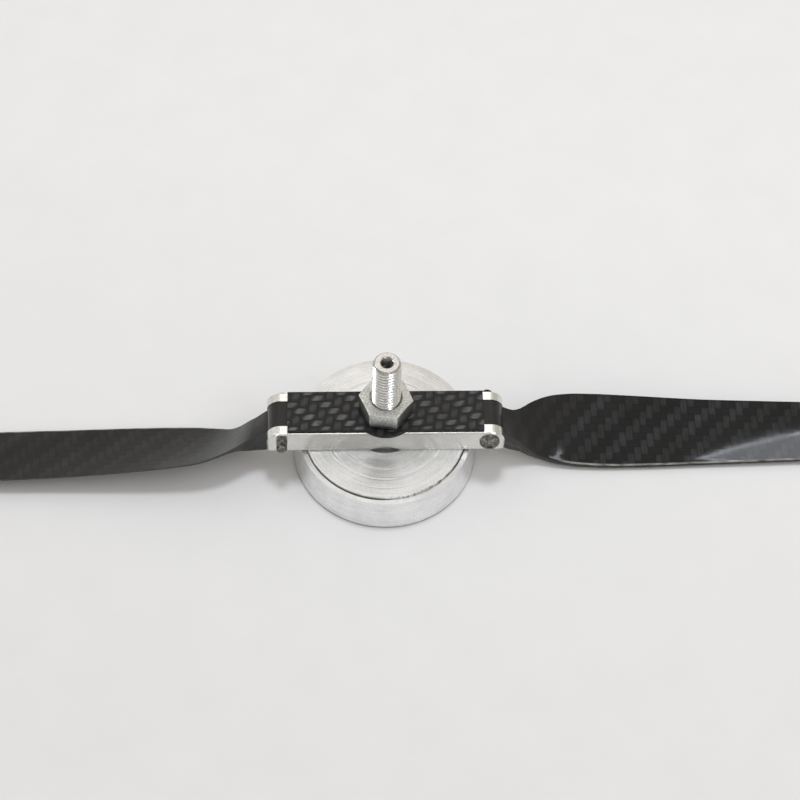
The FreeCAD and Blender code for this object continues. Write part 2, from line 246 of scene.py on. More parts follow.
def rounded(points, radius, steps=3):
    """The closed outline with each corner replaced by a small curve."""
    found = []
    for k, point in enumerate(points):
        corner = Vector(point)
        before, after = Vector(points[k - 1]) - corner, Vector(points[(k + 1) % len(points)]) - corner
        reach = min(radius, 0.4 * before.length, 0.4 * after.length)
        start, end = corner + before.normalized() * reach, corner + after.normalized() * reach
        for n in range(steps + 1):
            t = n / steps
            found.append(tuple(start * (1 - t) ** 2 + corner * 2 * t * (1 - t) + end * t * t))
    return found


def turned(profile, segments, closed=False, vary=None):
    """Bmesh of revolution about Z from (radius, z) points in millimetres; vary moves a point by its angle."""
    rows = []
    for r, z in profile:
        row = []
        for k in range(segments):
            angle = 2 * math.pi * k / segments
            radius, height = vary(angle, r, z) if vary else (r, z)
            row.append(Vector((radius * math.cos(angle), radius * math.sin(angle), height)))
        rows.append(row)
    return skin(rows, closed=closed)


def cylinder_piece(name, radius, low, high, segments=96):
    """Upright cylinder on the shaft axis."""
    return to_piece(name, turned([(0, low), (radius, low), (radius, high), (0, high)], segments))


def lay_on_pivot(piece, side, y):
    """Turn a piece from +Z to +Y and put it on a pivot axis; the left one is the right one turned."""
    piece.data.transform(Matrix.Rotation(-math.pi / 2, 4, "X"))
    piece.data.transform(Matrix.Translation(Vector((PIVOT_OFFSET, y, PIVOT_HEIGHT)) * MM))
    if side == "left":
        piece.data.transform(Matrix.Rotation(math.pi, 4, "Z"))
    return piece


def rod_along_y(name, radius, x, reach):
    """Rod along Y on a pivot axis."""
    piece = cylinder_piece(name, radius, -reach, reach, 64)
    piece.data.transform(Matrix.Rotation(-math.pi / 2, 4, "X"))
    piece.data.transform(Matrix.Translation(Vector((x, 0, PIVOT_HEIGHT)) * MM))
    return piece


def mount_piece(piece, node_name, body):
    """Dress a piece, hang it on its body and let it stand for a CAD node."""
    material, slot = looks[node_name]
    piece.data.materials.clear()
    piece.data.materials.append(material)
    for polygon in piece.data.polygons:
        polygon.material_index = 0
    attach(piece, body)
    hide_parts(node_name)


# ---- blades ----------------------------------------------------------------------------
def slopes(radii, values):
    """Slope of a smooth curve at each station, from its two neighbours."""
    steps = [(b - a) / (s - r) for r, s, a, b in zip(radii, radii[1:], values, values[1:])]
    inner = [(p * (t - s) + q * (s - r)) / (t - r)
             for p, q, r, s, t in zip(steps, steps[1:], radii, radii[1:], radii[2:])]
    return [steps[0]] + inner + [steps[-1]]


def smooth_stations(step):
    """Blade stations about a step apart, on a smooth curve through each column."""
    radii = [station[0] for station in BLADE_STATIONS]
    columns = [(values, slopes(radii, values)) for values in list(zip(*BLADE_STATIONS))[1:]]
    filled = []
    for k in range(len(radii) - 1):
        gap = radii[k + 1] - radii[k]
        count = max(2, round(gap / step))
        for n in range(count):
            u = n / count
            row = [radii[k] + gap * u]
            for values, slope in columns:
                start = (1 + 2 * u) * (1 - u) ** 2 * values[k] + u * (1 - u) ** 2 * gap * slope[k]
                end = u * u * (3 - 2 * u) * values[k + 1] - u * u * (1 - u) * gap * slope[k + 1]
                row.append(start + end)
            filled.append(row)
    return filled + [list(BLADE_STATIONS[-1])]


def curve_through(points, parts):
    """Points on a smooth curve through the given ones, a few parts to each gap."""
    ends = [points[0] * 2 - points[1]] + points + [points[-1] * 2 - points[-2]]
    found = []
    for a, b, c, d in zip(ends, ends[1:], ends[2:], ends[3:]):
        for n in range(parts):
            t = n / parts
            found.append(0.5 * (2 * b + (c - a) * t + (2 * a - 5 * b + 4 * c - d) * t * t
                                + (3 * b - a - 3 * c + d) * t ** 3))
    return found + [points[-1]]


def blade_ring(station):
    """Closed ring of points across the right blade at one radius, in millimetres.

    It runs over the upper side to the leading corner, then under the nose back to the trailing edge."""
    x, lead_y, lead_z, trail_y, trail_z, thick, edge, hollow = station
    chord = trail_y - lead_y
    bulge = NOSE_BULGE * (1 - edge / thick)
    nose = min(0.65 * thick, thick - 0.5)

    def top(f):
        return PIVOT_HEIGHT + lead_z + (trail_z - lead_z) * f - hollow * 4 * f * (1 - f)

    def under(f, share):
        base = lead_z + (trail_z - lead_z) * f
        return Vector((x, lead_y + chord * f, PIVOT_HEIGHT + base - edge - (thick - edge) * share))

    first = BLADE_CORNER / chord
    fractions = [1 - (1 - first) * k / UPPER_STEPS for k in range(UPPER_STEPS + 1)]
    upper = [Vector((x, lead_y + chord * f, top(f))) for f in fractions]
    peak = Vector((x, lead_y, top(0)))
    lower = [
        Vector((x, lead_y - bulge * 0.55, top(0) - BLADE_CORNER)),
        Vector((x, lead_y - bulge, top(0) - 0.35 * nose - 0.5 * BLADE_CORNER)),
        Vector((x, lead_y - bulge * 0.6, top(0) - 0.75 * nose)),
        Vector((x, lead_y + 0.35, top(0) - 0.75 * nose - 0.2 * thick * (0.5 + 0.5 * edge / thick))),
    ]
    lower += [under(f, share) for f, share in AEROFOIL_DEPTH]
    round_corner = [peak * 0.5 + (upper[-1] + lower[0]) * 0.25]
    return upper + round_corner + curve_through(lower, 4)


def blade_skin():
    """Bmesh of the right blade outboard of its root, with the weave and the painted corner highlight laid out
    along it.
    """
    rings = [blade_ring(station) for station in smooth_stations(1.0)]
    shape = skin(rings)
    shape.verts.ensure_lookup_table()
    count = len(rings[0])
    along = []
    for ring in rings:
        lengths = [0.0]
        for a, b in zip(ring, ring[1:] + ring[:1]):
            lengths.append(lengths[-1] + (b - a).length)
        along.append(lengths)
    weave = shape.loops.layers.uv.new("weave")
    seam = shape.loops.layers.uv.new("seam")
    crest = range(UPPER_STEPS, UPPER_STEPS + 3)
    for index, face in enumerate(shape.faces):
        row, k = divmod(index, count)
        corners = ((row, k), (row, k + 1), (row + 1, k + 1), (row + 1, k))
        for loop, (r, c) in zip(face.loops, corners):
            loop[weave].uv = (rings[r][0].x * MM, along[r][c] * MM)
            # share of the painted highlight on the leading corner, fading in outboard of its start
            share = min(1.0, max(0.0, (rings[r][0].x - HIGHLIGHT_START) / HIGHLIGHT_FADE))
            loop[seam].uv = (share if c in crest else 0.0, 0.0)
    for row in (0, len(rings) - 1):
        cap = shape.faces.new(shape.verts[row * count:(row + 1) * count])
        for loop in cap.loops:
            loop[weave].uv = (loop.vert.co.z, loop.vert.co.y)
    return shape


def root_barrel():
    """Round root of the right blade with its flat square tail, weave included."""
    outline = arc((0, 0), ROOT_RADIUS, 90, -180, 60)
    outline += [(-TAIL_LENGTH, 0.0), (-TAIL_LENGTH, ROOT_RADIUS)]
    outline = [(PIVOT_OFFSET + x, PIVOT_HEIGHT + z) for x, z in outline]
    half = ROOT_WIDTH / 2
    shape = prism(outline, (-half, half), "XZ")
    sharp = [e for e in shape.edges if e.calc_face_angle(0) > math.radians(40)]
    bmesh.ops.bevel(shape, geom=sharp, offset=0.15 * MM, segments=2, affect="EDGES", profile=0.5)
    weave = shape.loops.layers.uv.new("weave")
    shape.loops.layers.uv.new("seam")
    for face in shape.faces:
        for loop in face.loops:
            spot = loop.vert.co
            angle = math.atan2(spot.x - PIVOT_OFFSET * MM, spot.z - PIVOT_HEIGHT * MM)
            side = abs(face.normal.y) > 0.7
            wrapped = (PIVOT_OFFSET + angle * ROOT_RADIUS) * MM
            loop[weave].uv = (spot.x, spot.z) if side else (wrapped, spot.y)
    return shape


def make_blades():
    """Both blades: the left one is the right one turned by half a revolution."""
    right = to_piece("carbon_blade_right", blade_skin())
    combine(right, to_piece("root", root_barrel()), "UNION")
    combine(right, rod_along_y("hole", BUSH_RADIUS, PIVOT_OFFSET, ROOT_WIDTH))
    soften(right, 0)
    left = link("carbon_blade_left", right.data.copy())
    left.data.transform(Matrix.Rotation(math.pi, 4, "Z"))
    mount_piece(right, "blade_right", "right_blade")
    mount_piece(left, "blade_left", "left_blade")


# ---- hub -------------------------------------------------------------------------------
def groove_share(angle):
    """How open the groove at the foot of the land is: widest at the front left, shut at the front right."""
    return min(1.0, max(0.12, 0.75 + 0.7 * math.cos(3 * (angle + math.radians(126)))))


def make_hub_disc():
    """Turned flange with a raised land, a groove round the land and a lightened back."""
    edge, chamfer = 0.25, 0.1

    def wander(angle, r, z):
        if GROOVE_WALL - 0.01 <= r <= GROOVE_OUT + 0.01 and CONE_TOP < z <= LEDGE:
            share = groove_share(angle)
            return GROOVE_WALL + (r - GROOVE_WALL) * (0.3 + 0.7 * share), LEDGE + (z - LEDGE) * share
        return r, z

    outline = [
        (CONE_FOOT_RADIUS, 0), *DISC_RECESS,
        (DISC_BACK_RADIUS - edge, 0), (DISC_BACK_RADIUS, edge), (DISC_RIM_RADIUS, DISC_RIM),
        (GROOVE_OUT, LEDGE), (GROOVE_OUT - 0.08, LEDGE - GROOVE_DEPTH + 0.05),
        (GROOVE_WALL, LEDGE - GROOVE_DEPTH),
        (LAND_RADIUS, BAR_BOTTOM - chamfer), (LAND_RADIUS - chamfer, BAR_BOTTOM),
        (RELIEF_RADIUS, BAR_BOTTOM), (RELIEF_RADIUS, BAR_BOTTOM - RELIEF_DEPTH),
        (CONE_TOP_RADIUS, BAR_BOTTOM - RELIEF_DEPTH), (CONE_TOP_RADIUS, CONE_TOP),
        (CONE_FOOT_RADIUS, CONE_FOOT),
    ]
    disc = to_piece("turned_disc", turned(rounded(outline, 0.08), 256, True, wander))
    soften(disc, 0)
    mount_piece(disc, "hub_disc", "hub")


def thread_rows(low, high, radius, pitch, per_turn):
    """Points (radius, z) up a plain cylinder, close enough together for helix to cut a thread in it."""
    count = round((high - low) / pitch * per_turn)
    return [(radius, low + (high - low) * k / count) for k in range(count + 1)]


def helix(low, high, radius, depth, pitch):
    """Function that cuts a helical thread into a turned shape between two heights; the low end fades in."""
    def cut(angle, r, z):
        if abs(r - radius) > 1e-6 or not low <= z <= high:
            return r, z
        phase = (z / pitch - angle / (2 * math.pi)) % 1.0
        gap = abs(2 * phase - 1)
        share = min(1.0, max(0.0, (gap - 0.14) / 0.6))
        fade = min(1.0, max(0.0, (z - low) / 0.4))
        return r - depth * share * fade, z
    return cut


def make_collet_stud():
    """Threaded stud with a tapped end and a slit cone at its foot."""
    top, chamfer = STUD_TOP, 0.8
    cut = helix(THREAD_LOW, top, THREAD_RADIUS, THREAD_DEPTH, THREAD_PITCH)
    crest = TIP_HOLE_RADIUS + 0.01
    tapped = top - 4.0
    mouth = top - 0.2

    def shape_thread(angle, r, z):
        if abs(r - crest) < 1e-6 and tapped < z < mouth:
            phase = (z / TIP_HOLE_PITCH - angle / (2 * math.pi)) % 1.0
            return crest + 0.28 * max(0.0, abs(2 * phase - 1) - 0.2), z
        radius, height = cut(angle, r, z)
        over = max(0.0, height - (top - chamfer))
        return (min(radius, THREAD_RADIUS - over) if over else radius), height

    outline = [(0, top - 11), (TIP_HOLE_RADIUS, top - 10)]
    outline += [(crest, tapped + (mouth - tapped) * k / 60) for k in range(61)]
    outline += [(1.95, top), (2.1, top), (3.12, top)]
    outline += thread_rows(THREAD_LOW, top - 0.001, THREAD_RADIUS, THREAD_PITCH, 14)[::-1]
    outline += [
        (THREAD_RADIUS, 9.3), (4.18, CONE_TOP), (6.08, 0.75), (5.95, CONE_FOOT), (2.9, CONE_FOOT),
        (SHAFT_RADIUS, 1.0), (SHAFT_RADIUS, 19.6), (0, 21.1),
    ]
    stud = to_piece("threaded_stud", turned(outline, 96, False, shape_thread))
    half, reach = SLIT_HALF_WIDTH, 14
    for k in range(3):
        slit = to_piece("slit", prism([(0, -half), (reach, -half), (reach, half), (0, half)], (-1, SLIT_TOP)))
        slit.data.transform(Matrix.Rotation(math.radians(90 + 120 * k), 4, "Z"))
        combine(stud, slit)
    smooth(stud, 50)
    mount_piece(stud, "collet_stud", "hub")


def make_yoke():
    """Hub bar with a fork at each end."""
    half = PIVOT_OFFSET
    outline = [(half + x, z) for x, z in arc((0, PIVOT_HEIGHT), EAR_RADIUS, 0, 90, 14)]
    outline = [(x, min(z, BAR_TOP)) for x, z in outline]
    outline = [(half + EAR_RADIUS, BAR_BOTTOM)] + outline
    outline += [(-x, z) for x, z in reversed(outline)]
    yoke = to_piece("hub_bar", prism(outline, (-BAR_HALF_WIDTH, BAR_HALF_WIDTH), "XZ"))
    soften(yoke, 0.4, 1)
    combine(yoke, cylinder_piece("bore", BAR_BORE_RADIUS, BAR_BOTTOM - 1, BAR_TOP + 1))
    combine(yoke, cylinder_piece("relief", RELIEF_RADIUS, BAR_BOTTOM - 1, BAR_BOTTOM + RELIEF_DEPTH))
    past_end = 40
    for side in (-1, 1):
        pocket = rounded([(side * SLOT_END, -SLOT_HALF_WIDTH), (side * past_end, -SLOT_HALF_WIDTH),
                          (side * past_end, SLOT_HALF_WIDTH), (side * SLOT_END, SLOT_HALF_WIDTH)], 1.0, 4)
        combine(yoke, to_piece("pocket", prism(pocket, (BAR_BOTTOM - 1, BAR_TOP + 1))))
        combine(yoke, rod_along_y("pin_hole", PIN_HOLE_RADIUS, side * PIVOT_OFFSET, BAR_HALF_WIDTH + 2))
    soften(yoke, 0)
    mount_piece(yoke, "yoke", "hub")


def make_cover_plate():
    """Carbon strip with a round boss."""
    blend_y = PLATE_HALF_WIDTH + PLATE_BLEND
    blend_x = math.sqrt((PLATE_BOSS_RADIUS + PLATE_BLEND) ** 2 - blend_y ** 2)
    lean = math.degrees(math.atan2(blend_y, blend_x))
    quarter = [(PLATE_HALF_LENGTH, PLATE_HALF_WIDTH)]
    quarter += arc((blend_x, blend_y), PLATE_BLEND, -90, lean - 180, 10)
    quarter += arc((0, 0), PLATE_BOSS_RADIUS, lean, 90, 12)
    outline = quarter + [(-x, y) for x, y in reversed(quarter[:-1])]
    outline += [(-x, -y) for x, y in outline]
    plate = to_piece("carbon_plate", prism(outline, (BAR_TOP, PLATE_TOP)))
    combine(plate, cylinder_piece("bore", PLATE_BORE_RADIUS, BAR_TOP - 1, PLATE_TOP + 1))
    soften(plate, 0.07)
    mount_piece(plate, "cover_plate", "hub")


def make_hub_nut():
    """Hexagon nut, chamfered and countersunk on both faces; its walls follow the hexagon at each angle."""
    flat = NUT_ACROSS_FLATS / 2
    ring, edge = NUT_CHAMFER_RADIUS, 0.07
    spread = [-30, -29, -27.5, -25, -20, -13, -6.5, 0, 6.5, 13, 20, 25, 27.5, 29]
    angles = [math.radians(NUT_TURN + 30 + 60 * side + a) for side in range(6) for a in spread]
    walls = [min(flat / math.cos(math.radians(a)), flat / math.cos(math.radians(30)) - 0.1)
             for side in range(6) for a in spread]
    slope = math.tan(math.radians(25))

    def row(radius_of, height_of):
        return [Vector((radius_of(w) * math.cos(a), radius_of(w) * math.sin(a), height_of(w)))
                for a, w in zip(angles, walls)]

    def face_rows(level, sign):
        countersink = ((4.0, 0.6), (4.0, 0.52), (4.48, 0.05), (4.56, 0.0), (4.75, 0.0), (ring - 0.1, 0.0))
        rows = [row(lambda w, r=r: r, lambda w, z=z: level - sign * z) for r, z in countersink]
        rows.append(row(lambda w: ring, lambda w: level - sign * 0.01))
        rows.append(row(lambda w: w - edge, lambda w: level - sign * (w - edge - ring) * slope))
        rows.append(row(lambda w: w, lambda w: level - sign * ((w - ring) * slope + edge)))
        rows.append(row(lambda w: w, lambda w: level - sign * ((w - ring) * slope + edge + 0.25)))
        return rows

    rows = face_rows(NUT_TOP, 1) + face_rows(PLATE_TOP, -1)[::-1]
    nut = to_piece("hex_nut", skin(rows, closed=True))
    smooth(nut, 24)
    mount_piece(nut, "hub_nut", "hub")


def make_pivot_screws():
    """Button-head screws, put in from opposite sides."""
    tip, head = SCREW_LENGTH, -HEAD_HEIGHT
    start, crest = SCREW_PLAIN + 0.1, SCREW_RADIUS - 0.002
    dome = [
        (0, head), (0.95, head), (1.3, head + 0.07), (1.75, head + 0.22), (2.2, head + 0.5),
        (2.52, head + 0.83), (2.7, -0.5), (HEAD_RADIUS, -0.38), (HEAD_RADIUS, -0.04), (HEAD_RADIUS - 0.04, 0),
    ]
    shank = [(SCREW_RADIUS, 0), (SCREW_RADIUS, SCREW_PLAIN)]
    cut = helix(start, tip, crest, SCREW_THREAD_DEPTH, SCREW_PITCH)

    def shape_thread(angle, r, z):
        radius, height = cut(angle, r, z)
        over = max(0.0, height - (tip - 0.4))
        return (min(radius, SCREW_RADIUS - over) if over else radius), height

    rows = thread_rows(start, tip - 0.001, crest, SCREW_PITCH, 10)
    outline = dome + shank + rows + [(0.9, tip), (0, tip)]
    hexagon = arc((0, 0), SOCKET_RADIUS / math.cos(math.pi / 6), 0, 300, 5)
    for side in ("right", "left"):
        screw = to_piece("screw_" + side, turned(outline, 48, False, shape_thread))
        combine(screw, to_piece("socket", prism(hexagon, (head - 1, head + SOCKET_DEPTH))))
        smooth(screw, 40)
        lay_on_pivot(screw, side, -BAR_HALF_WIDTH)
        mount_piece(screw, "pivot_screw_" + side, "hub")


def make_bushes():
    """Brass sleeves in the blade roots."""
    half = ROOT_WIDTH / 2
    inner, outer = PIN_HOLE_RADIUS, BUSH_RADIUS - 0.005
    outline = rounded([(inner, -half), (outer, -half), (outer, half), (inner, half)], 0.12)
    for side in ("right", "left"):
        bush = to_piece("brass_bush_" + side, turned(outline, 64, True))
        smooth(bush, 50)
        lay_on_pivot(bush, side, 0)
        mount_piece(bush, "root_bush_" + side, side + "_blade")


# ---- material helpers ------------------------------------------------------------------
def new_material(name, **values):
    """Material with a principled shader whose sockets are set by name."""
    material = bpy.data.materials.new(name)
    material.use_nodes = True
    shader = material.node_tree.nodes["Principled BSDF"]
    for key, value in values.items():
        shader.inputs[key.replace("_", " ")].default_value = value
    return material, material.node_tree, shader


def feed(shader, socket, value):
    """Link a value to a socket of the shader."""
    shader.id_data.links.new(value, shader.inputs[socket])


def node(tree, kind, inputs=(), **settings):
    """New node; inputs maps a socket's name or number to a value or to another socket."""
    made = tree.nodes.new("ShaderNode" + kind)
    for key, value in settings.items():
        setattr(made, key, value)
    for key, value in dict(inputs).items():
        if isinstance(value, bpy.types.NodeSocket):
            tree.links.new(value, made.inputs[key])
        else:
            made.inputs[key].default_value = value
    return made


def maths(tree, operation, a, b=0.0, c=0.0):
    """Result socket of a maths node."""
    return node(tree, "Math", {0: a, 1: b, 2: c}, operation=operation).outputs[0]


def times(tree, a, b):
    """a b"""
    return maths(tree, "MULTIPLY", a, b)


def plus(tree, a, b):
    """a + b"""
    return maths(tree, "ADD", a, b)


def minus(tree, a, b):
    """a - b"""
    return maths(tree, "SUBTRACT", a, b)


def scaled(tree, a, b, c):
    """a b + c"""
    return maths(tree, "MULTIPLY_ADD", a, b, c)


def absolute(tree, a):
    """Size of a without its sign."""
    return maths(tree, "ABSOLUTE", a)


def parts(tree, vector):
    """The three numbers of a vector."""
    return node(tree, "SeparateXYZ", {0: vector}).outputs


def tinted(tree, grey, blue):
    """Colour from one number for red and green and another for blue."""
    return node(tree, "CombineColor", {0: grey, 1: grey, 2: blue}).outputs[0]


def remap(tree, value, span, target=(0.0, 1.0), kind="LINEAR"):
    """Number carried over from one span to another, and held at its ends."""
    ends = {"From Min": span[0], "From Max": span[1], "To Min": target[0], "To Max": target[1]}
    return node(tree, "MapRange", {"Value": value, **ends}, interpolation_type=kind).outputs[0]


def ramp(tree, factor, stops):
    """Colour of a ramp; stops are (position, grey or colour)."""
    made = node(tree, "ValToRGB", {0: factor})
    elements = made.color_ramp.elements
    while len(elements) < len(stops):
        elements.new(0.5)
    for element, (position, value) in zip(elements, stops):
        element.position = position
        element.color = (value, value, value, 1) if isinstance(value, float) else (*value, 1)
    return made.outputs["Color"]


def mix(tree, factor, a, b):
    """Number between a and b."""
    return node(tree, "Mix", {0: factor, 2: a, 3: b}, data_type="FLOAT").outputs[0]


def mix_colour(tree, factor, a, b):
    """Colour between a and b."""
    return node(tree, "Mix", {0: factor, 6: a, 7: b}, data_type="RGBA").outputs[2]


def multiplied(tree, a, b):
    """Product of two colours."""
    return node(tree, "Mix", {0: 1.0, 6: a, 7: b}, data_type="RGBA", blend_type="MULTIPLY").outputs[2]


def noise(tree, vector, scale, detail=3.0, roughness=0.55):
    """Factor of a noise texture."""
    return node(tree, "TexNoise", {"Vector": vector, "Scale": scale, "Detail": detail,
                                   "Roughness": roughness}).outputs[0]


def local_place(tree):
    """Position in the piece's own coordinates."""
    return node(tree, "TexCoord").outputs["Object"]


def upright(tree):
    """How far the face is turned towards up or down: 0 on a wall, 1 on a level face."""
    normal = parts(tree, node(tree, "TexCoord").outputs["Normal"])[2]
    return absolute(tree, normal)


def stretched(tree, vector, scale, shift=(0.0, 0.0, 0.0)):
    """Vector scaled by three factors, and perhaps shifted."""
    return node(tree, "Mapping", {"Vector": vector, "Scale": scale, "Location": shift}).outputs[0]


def bell(tree, value, centre, width):
    """Smooth hump, 1 at the centre."""
    offset = maths(tree, "DIVIDE", minus(tree, value, centre), width)
    square = times(tree, offset, offset)
    return maths(tree, "POWER", 2.718, times(tree, square, -1.0))


def bump(tree, height, distance, strength=1.0):
    """Normal of a bump, distance in metres."""
    return node(tree, "Bump", {"Height": height, "Distance": distance, "Strength": strength}).outputs[0]


# ---- carbon ----------------------------------------------------------------------------
def twill(tree, u, v, tilt, crown):
    """Two by two twill from coordinates in tows: (weft on top, height over the tow, glint on its crown).

    The crown is the glint's length along the tow and how squarely it fills the tow's width; tilt skews it."""
    cell_u, cell_v = maths(tree, "FLOOR", u), maths(tree, "FLOOR", v)
    part_u, part_v = maths(tree, "FRACT", u), maths(tree, "FRACT", v)
    phase = maths(tree, "FLOORED_MODULO", plus(tree, cell_u, cell_v), 4.0)
    weft = maths(tree, "LESS_THAN", phase, 1.5)
    run_u = times(tree, plus(tree, phase, part_u), 0.5)
    run_v = times(tree, plus(tree, minus(tree, phase, 2.0), part_v), 0.5)
    along = mix(tree, weft, run_v, run_u)
    across = mix(tree, weft, part_u, part_v)

    def dome(t, power):
        centred = absolute(tree, scaled(tree, t, 2.0, -1.0))
        return minus(tree, 1.0, maths(tree, "POWER", centred, power))

    height = times(tree, dome(across, 2.4), dome(along, 3.0))
    slant = scaled(tree, across, -tilt, 0.5 * tilt)
    glint = bell(tree, plus(tree, along, slant), 0.5, crown[0])
    glint = times(tree, glint, dome(across, crown[1]))
    return weft, height, remap(tree, glint, (0.2, 0.8), kind="SMOOTHSTEP")


def carbon_material(name, source, tow, shift, tilt, crown, fill, greys, glints, fibre, **values):
    """Laminate of twill under resin; source gives the flat coordinates of the weave in metres.

    Tow widths and the shift are in millimetres. Greys and glints are for weft and warp, and fibre is how
    strongly and how finely the single strands show. The glints are painted highlights on the floats' crowns,
    the difference between the two greys is painted sheen, and fill is the share of the grey kept at a tow's
    edges, which the rest darkens as painted shade. Other values go to the shader's sockets."""
    material, tree, shader = new_material(name, **values)
    vector = source(tree)
    split = parts(tree, vector)
    wander = scaled(tree, noise(tree, vector, 140.0, 4.0), 0.5, -0.25)
    elsewhere = stretched(tree, vector, (1.0, 1.0, 1.0), (0.3, 0.2, 0.0))
    stray = scaled(tree, noise(tree, elsewhere, 170.0, 4.0), 0.44, -0.22)
    u = plus(tree, scaled(tree, split[0], 1000.0 / tow[0], -shift[0] / tow[0]), wander)
    v = plus(tree, scaled(tree, split[1], 1000.0 / tow[1], -shift[1] / tow[1]), stray)
    weft, height, glint = twill(tree, u, v, tilt, crown)
    strands_u = noise(tree, stretched(tree, vector, (300.0, fibre[1], 1.0)), 1.0, 3.0, 0.6)
    strands_v = noise(tree, stretched(tree, vector, (fibre[1], 300.0, 1.0)), 1.0, 3.0, 0.6)
    strands = mix(tree, weft, strands_v, strands_u)
    cell = node(tree, "CombineXYZ", {0: maths(tree, "FLOOR", u), 1: maths(tree, "FLOOR", v)}).outputs[0]
    patch = noise(tree, cell, 7.3, 0.0)
    # painted shade: each tow darker towards its edges; the two greys differ by painted sheen
    base = times(tree, mix(tree, weft, greys[1], greys[0]), scaled(tree, height, 1.0 - fill, fill))
    # painted highlight on each float's crown
    shine = times(tree, mix(tree, weft, glints[1], glints[0]), glint)
    cloud = noise(tree, vector, 85.0, 4.0)
    uneven = times(tree, scaled(tree, patch, 1.2, 0.4), scaled(tree, cloud, 2.4, -0.2))
    shine = times(tree, shine, maths(tree, "MAXIMUM", uneven, 0.0))
    level = times(tree, plus(tree, base, shine), scaled(tree, strands, 2.0 * fibre[0], 1.0 - fibre[0]))
    colour = tinted(tree, level, times(tree, level, 1.02))
    return material, tree, shader, colour, height, strands


def blade_material(name, greys, glints):
    """Glossy moulded laminate of the blades, with a painted highlight along the leading corner; the weave shows
    less near the root.
    """
    def weave_map(tree):
        return node(tree, "UVMap", uv_map="weave").outputs[0]

    material, tree, shader, colour, height, strands = carbon_material(
        name, weave_map, tow=(1.98, 2.05), shift=(0.4, 0.3), tilt=0.0, crown=(0.6, 6.0),
        fill=0.7, greys=greys, glints=glints, fibre=(1.0, 2600.0),
        Coat_Weight=0.7, Coat_Roughness=0.08, Coat_IOR=1.48, Specular_IOR_Level=0.12)
    reach = parts(tree, weave_map(tree))[0]
    plain = remap(tree, reach, (0.036, 0.064), (0.8, 0.0), "SMOOTHSTEP")
    cloud = noise(tree, stretched(tree, weave_map(tree), (1.0, 0.6, 1.0)), 95.0, 4.0, 0.65)
    blotch = remap(tree, cloud, (0.3, 0.7), (0.45, 1.5))
    colour = multiplied(tree, colour, tinted(tree, blotch, scaled(tree, blotch, 1.2, -0.18)))
    even = 0.5 * (greys[0] + greys[1]) + 0.2 * glints[1]
    colour = mix_colour(tree, plain, colour, (even, even, even * 0.97, 1.0))
    # painted highlight along the leading corner, its brightness mottled by noise
    seam = parts(tree, node(tree, "UVMap", uv_map="seam").outputs[0])[0]
    seam = remap(tree, seam, (0.8, 0.97), kind="SMOOTHSTEP")
    mottled = noise(tree, stretched(tree, local_place(tree), (250.0, 900.0, 900.0)), 1.0, 3.0)
    highlight_colour = ramp(tree, mottled, [(0.35, (0.07, 0.068, 0.06)), (0.62, (0.3, 0.295, 0.27))])
    feed(shader, "Base Color", mix_colour(tree, seam, colour, highlight_colour))
    feed(shader, "Roughness", scaled(tree, strands, 0.3, 0.35))
    feed(shader, "Normal", bump(tree, height, 0.00005, 0.8))
    ripple = noise(tree, local_place(tree), 240.0, 3.0)
    skin_height = plus(tree, ripple, times(tree, height, 0.12))
    feed(shader, "Coat Normal", bump(tree, skin_height, 0.00003, 0.35))
    haze = noise(tree, local_place(tree), 120.0, 4.0)
    feed(shader, "Coat Roughness", scaled(tree, haze, 0.12, 0.03))
    return material


def plate_material():
    """Satin cut plate: twill on the faces, thin plies on the cut edges."""
    material, tree, shader, colour, height, strands = carbon_material(
        "plate_carbon", local_place, tow=(2.28, 2.05), shift=(1.8, -1.05), tilt=0.28,
        crown=(0.28, 5.0), fill=0.4, greys=(0.024, 0.024), glints=(0.075, 0.02), fibre=(0.8, 2600.0),
        Coat_Weight=0.25, Coat_Roughness=0.3, Coat_IOR=1.4, Specular_IOR_Level=0.25)
    place = local_place(tree)
    edge = maths(tree, "LESS_THAN", upright(tree), 0.5)
    plies = noise(tree, stretched(tree, place, (90.0, 90.0, 5200.0)), 1.0, 2.0)
    ply_colour = ramp(tree, plies, [(0.35, 0.006), (0.55, 0.014), (0.75, 0.035)])
    feed(shader, "Base Color", mix_colour(tree, edge, colour, ply_colour))
    feed(shader, "Roughness", scaled(tree, strands, 0.25, 0.38))
    relief = mix(tree, edge, height, plies)
    feed(shader, "Normal", bump(tree, relief, 0.00005, 0.6))
    feed(shader, "Coat Weight", scaled(tree, edge, -0.25, 0.25))
    return material


